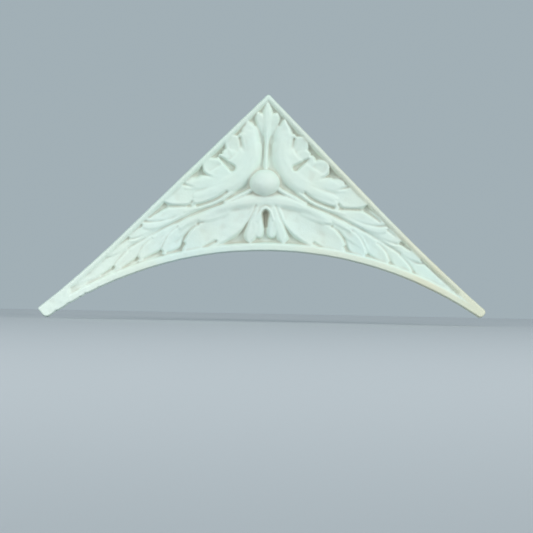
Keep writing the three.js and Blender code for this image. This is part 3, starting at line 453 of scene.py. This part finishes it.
# The carved front is worked out on a raster and then made as blunt as the casting is: softened a little all
# over, and silted up in narrow gaps, to a set depth under the mean of the surroundings.
RASTER, RASTER_MARGIN = 0.25, 3            # its spacing, and how far it reaches past the outline
BLUNT, SURROUNDINGS, SILT_DEPTH = 0.3, 1.6, 1.15
WAVINESS = 0.05
raster_low = np.floor(ring.min(axis=0)) - RASTER_MARGIN
raster_high = np.ceil(ring.max(axis=0)) + RASTER_MARGIN
raster_x = np.arange(raster_low[0], raster_high[0], RASTER)
raster_z = np.arange(raster_low[1], raster_high[1], RASTER)
grid_x, grid_z = np.meshgrid(raster_x, raster_z)
frequency_squared = np.add.outer(np.fft.fftfreq(len(raster_z), RASTER) ** 2,
                                 np.fft.fftfreq(len(raster_x), RASTER) ** 2)


def blurred(heights, spread):
    """A raster's mean over the surroundings: its spectrum times that of a bell curve of the given spread."""
    bell = np.exp(-2 * (np.pi * spread) ** 2 * frequency_squared)
    return np.fft.ifft2(np.fft.fft2(heights) * bell).real


def sampled(heights, x, z):
    """Values of a raster at points between its own: the mean of the four round each, weighted by nearness."""
    across, down = (x - raster_x[0]) / RASTER, (z - raster_z[0]) / RASTER
    i, j = down.astype(int), across.astype(int)
    v, u = down - i, across - j
    near_row = heights[i, j] * (1 - u) + heights[i, j + 1] * u
    far_row = heights[i + 1, j] * (1 - u) + heights[i + 1, j + 1] * u
    return near_row * (1 - v) + far_row * v


carved_front = relief(grid_x, grid_z)
surroundings = blurred(carved_front, SURROUNDINGS)
carved_front = flowing(blurred(carved_front, BLUNT), surroundings - SILT_DEPTH)
front_height = sampled(carved_front, placed[:, 0], placed[:, 1]) - groove(1, EYE, placed[:, 0], placed[:, 1])
front_height += WAVINESS * unevenness(placed[:, 0], placed[:, 1], 11)
front_height[:ring_count] = RIM_HEIGHT

# The wall's rings run from the back to the front's own ring, which comes last and belongs to the front.
wall_points = [np.column_stack([ring + inward * inset, np.full(ring_count, height)])
               for inset, height in zip(wall_inset[:-1], wall_height[:-1])]
points = np.vstack(wall_points + [np.column_stack([placed, front_height])])
levels = len(wall_inset)
step = np.roll(ring_index, -1)
wall_faces = np.vstack([
    np.column_stack([k * ring_count + ring_index, k * ring_count + step,
                     (k + 1) * ring_count + step, (k + 1) * ring_count + ring_index])
    for k in range(levels - 1)])
front_faces = np.array(triangles) + (levels - 1) * ring_count

# Tones of the surface, as shares from 0 to 1. Painted shade lies in hollows, by how far the front lies under
# its surroundings, and thinly in creases, by how far it lies under what is near. The rim turns cream towards
# the right tip, partly the resin's own yellowing and partly painted warm light and shade, and the left leg is
# painted paler towards its own tip, as painted light. The back has none of these.
NEAR = 0.6                                 # spread of what counts as near
HOLLOW_FROM, HOLLOW_OVER = 0.2, 1.5        # depth at which the painted shade starts, and over which it thickens
CREASE_FROM, CREASE_OVER, CREASE_MOST = 0.03, 0.3, 0.65
TINTED_RIM = 3.6                           # how far in from the outline the rim is tinted cream
YELLOW_FROM, YELLOW_OVER = -10.0, 105.0    # x at which the yellow starts, and over which it deepens
WHITE_FROM, WHITE_OVER = -30.0, 60.0       # the same for the painted light that makes the left leg paler, going left
points_x, points_z, points_height = points.T
hollow = (sampled(surroundings, points_x, points_z) - points_height - HOLLOW_FROM) / HOLLOW_OVER
near_mean = sampled(blurred(carved_front, NEAR), points_x, points_z)
crease = (near_mean - points_height - CREASE_FROM) / CREASE_OVER
# painted shade: the share of tan-brown that darkens hollows and creases
painted_shade = np.maximum(np.clip(hollow, 0, 1), CREASE_MOST * np.clip(crease, 0, 1))
painted_shade[:(levels - 1) * ring_count] = 0
on_rim = np.clip(TINTED_RIM - np.min(inside_edges(points_x, points_z), axis=0), 0, 1)
# cream on the rim, stronger to the right: partly the resin's yellowing, partly painted warm light and painted
# shade on its inner slope
yellowing_and_warm_light = on_rim * np.clip((points_x - YELLOW_FROM) / YELLOW_OVER, 0, 1)
yellowing_and_warm_light[:ring_count] = 0
# painted light: the left leg made paler towards its tip, as if more lit there
paler_left_painted_light = np.clip((WHITE_FROM - points_x) / WHITE_OVER, 0, 1)
paler_left_painted_light[:ring_count] = 0

mesh = bpy.data.meshes.new("moulding_corner_cast")
co = np.column_stack([points[:, 0], -points[:, 2], points[:, 1]]) * MM
mesh.from_pydata(co.tolist(), [], front_faces.tolist() + wall_faces.tolist() + [ring_index[::-1].tolist()])
mesh.polygons.foreach_set("use_smooth", np.ones(len(mesh.polygons), bool))
edge_ends = np.empty(2 * len(mesh.edges), int)
mesh.edges.foreach_get("vertices", edge_ends)
is_back_edge = edge_ends.reshape(-1, 2).max(axis=1) < ring_count
mesh.attributes.new("sharp_edge", "BOOLEAN", "EDGE").data.foreach_set("value", is_back_edge)
for name, share in (("painted_shade", painted_shade), ("yellowing_and_warm_light", yellowing_and_warm_light), ("paler_left_painted_light", paler_left_painted_light)):
    mesh.attributes.new(name, "FLOAT", "POINT").data.foreach_set("value", share.astype(np.float32))
mesh.validate()
mesh.update()
moulding = bpy.data.objects.new("moulding_corner_cast", mesh)
bpy.context.scene.collection.objects.link(moulding)

# The cast resin: pale mint white and satin, mottled a little bluer and creamier, with painted tan-brown shade
# in the hollows and creases, and very finely pitted.
resin = bpy.data.materials.new("pale_cast_resin")
resin.use_nodes = True
nodes, links = resin.node_tree.nodes, resin.node_tree.links
shader = nodes["Principled BSDF"]
place = nodes.new("ShaderNodeTexCoord")


def cloud(size, detail, low, high):
    """Soft noise on the object's own coordinates, of the given size in metres, stretched from low to high."""
    noise = nodes.new("ShaderNodeTexNoise")
    noise.inputs["Scale"].default_value = 1 / size
    noise.inputs["Detail"].default_value = detail
    links.new(place.outputs["Object"], noise.inputs["Vector"])
    spread = nodes.new("ShaderNodeMapRange")
    spread.inputs["From Min"].default_value = 0.3
    spread.inputs["From Max"].default_value = 0.7
    spread.inputs["To Min"].default_value = low
    spread.inputs["To Max"].default_value = high
    links.new(noise.outputs["Fac"], spread.inputs["Value"])
    return spread.outputs["Result"]


def tinted(share, under, over):
    """Mix of two colours, or of a colour and a socket, by a share."""
    mix = nodes.new("ShaderNodeMix")
    mix.data_type = "RGBA"
    links.new(share, mix.inputs["Factor"])
    for socket, value in ((mix.inputs["A"], under), (mix.inputs["B"], over)):
        if isinstance(value, tuple):
            socket.default_value = value
        else:
            links.new(value, socket)
    return mix.outputs["Result"]


PALE, COOL, WHITE = (0.72, 0.86, 0.75, 1), (0.66, 0.82, 0.79, 1), (0.86, 0.96, 0.86, 1)
CREAM, YELLOWING_AND_LIT_CREAM, PAINTED_SHADE_TAN = (0.80, 0.80, 0.64, 1), (0.78, 0.72, 0.51, 1), (0.42, 0.36, 0.26, 1)


def share_of(attribute, patches):
    """An attribute of the mesh times soft noise."""
    source = nodes.new("ShaderNodeAttribute")
    source.attribute_name = attribute
    product = nodes.new("ShaderNodeMath")
    product.operation = "MULTIPLY"
    links.new(source.outputs["Fac"], product.inputs[0])
    links.new(patches, product.inputs[1])
    return product.outputs["Value"]


colour = tinted(cloud(0.045, 2, 0.0, 1.0), PALE, COOL)
colour = tinted(cloud(0.03, 4, 0.0, 0.45), colour, CREAM)
# painted light: paler white towards the left tip
colour = tinted(share_of("paler_left_painted_light", cloud(0.02, 3, 0.7, 1.0)), colour, WHITE)
# cream on the right rim and tip: partly yellowing, partly painted warm light and shade
colour = tinted(share_of("yellowing_and_warm_light", cloud(0.02, 3, 0.5, 1.0)), colour, YELLOWING_AND_LIT_CREAM)
# painted shade: tan-brown mixed into the hollows and creases
colour = tinted(share_of("painted_shade", cloud(0.02, 3, 0.65, 0.9)), colour, PAINTED_SHADE_TAN)
links.new(colour, shader.inputs["Base Color"])
links.new(cloud(0.006, 3, 0.42, 0.58), shader.inputs["Roughness"])
shader.inputs["Subsurface Weight"].default_value = 0.08
shader.inputs["Subsurface Radius"].default_value = (1.0, 1.0, 0.9)
shader.inputs["Subsurface Scale"].default_value = 0.0012
shader.inputs["Specular IOR Level"].default_value = 0.4
pits = nodes.new("ShaderNodeBump")
pits.inputs["Strength"].default_value = 0.25
pits.inputs["Distance"].default_value = 0.0001
links.new(cloud(0.0009, 4, 0.0, 1.0), pits.inputs["Height"])
links.new(pits.outputs["Normal"], shader.inputs["Normal"])
mesh.materials.append(resin)

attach(moulding, "root")
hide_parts("moulding_corner")

# The studio.
# Not part of the object: a plain pale floor under the tips, a soft lamp from the right and a little above,
# as the photograph has it, two broad weak ones from the left and from above, and a grey-blue surrounding.
FLOOR_Z, FLOOR_BACK = -0.0616, 0.28
floor_mesh = bpy.data.meshes.new("studio_floor")
floor_corners = [(x, y, FLOOR_Z) for x, y in ((-3, -3), (3, -3), (3, FLOOR_BACK), (-3, FLOOR_BACK))]
floor_mesh.from_pydata(floor_corners, [], [(0, 1, 2, 3)])
studio_floor = bpy.data.objects.new("studio_floor", floor_mesh)
bpy.context.scene.collection.objects.link(studio_floor)
floor_paint = bpy.data.materials.new("pale_floor")
floor_paint.use_nodes = True
floor_paint.node_tree.nodes["Principled BSDF"].inputs["Base Color"].default_value = (0.52, 0.55, 0.57, 1)
floor_paint.node_tree.nodes["Principled BSDF"].inputs["Roughness"].default_value = 0.8
floor_mesh.materials.append(floor_paint)


LIT_SPOT = np.array([0.0, 0.0, -0.02])


def lamp(name, spot, size, watts):
    """Square area lamp at a spot, facing the moulding's middle."""
    light = bpy.data.lights.new(name, "AREA")
    light.size, light.energy = size, watts
    holder = bpy.data.objects.new(name, light)
    toward = LIT_SPOT - np.array(spot)
    back = -toward / np.linalg.norm(toward)
    right_hand = np.cross([0, 0, 1], back)
    right_hand /= np.linalg.norm(right_hand)
    up = np.cross(back, right_hand)
    rows = [(right_hand[i], up[i], back[i], spot[i]) for i in range(3)]
    holder.matrix_world = Matrix(rows + [(0, 0, 0, 1)])
    bpy.context.scene.collection.objects.link(holder)


lamp("key_lamp", (1.26, -0.91, 0.33), 0.56, 10.8)
lamp("left_lamp", (-0.9, -0.9, 0.2), 1.3, 8.2)
lamp("top_lamp", (0.0, -0.8, 1.0), 1.3, 3.8)
world = bpy.data.worlds.new("studio")
world.use_nodes = True
world.node_tree.nodes["Background"].inputs["Color"].default_value = (0.40, 0.48, 0.52, 1)
world.node_tree.nodes["Background"].inputs["Strength"].default_value = 0.9
bpy.context.scene.world = world
bpy.context.scene.view_settings.view_transform = "Standard"

# The camera looks square at the front through a long lens, turned by the photograph's slight slant.
SLANT = math.radians(1.12)
VIEW_WIDTH = 0.2374                       # what the picture spans at the moulding
CAMERA_FAR = 1.6
CENTRE_X, FRONT_Y, CENTRE_Z = 0.00085, -0.006, -0.03674   # what the picture's middle shows
lens = bpy.data.cameras.new("camera")
lens.sensor_width = 36
lens.lens = 36 * CAMERA_FAR / VIEW_WIDTH
lens.clip_start = 0.05
camera = bpy.data.objects.new("camera", lens)
camera.matrix_world = Matrix([
    (math.cos(SLANT), -math.sin(SLANT), 0, CENTRE_X),
    (0, 0, -1, FRONT_Y - CAMERA_FAR),
    (math.sin(SLANT), math.cos(SLANT), 0, CENTRE_Z),
    (0, 0, 0, 1)])
bpy.context.scene.collection.objects.link(camera)
bpy.context.scene.camera = camera
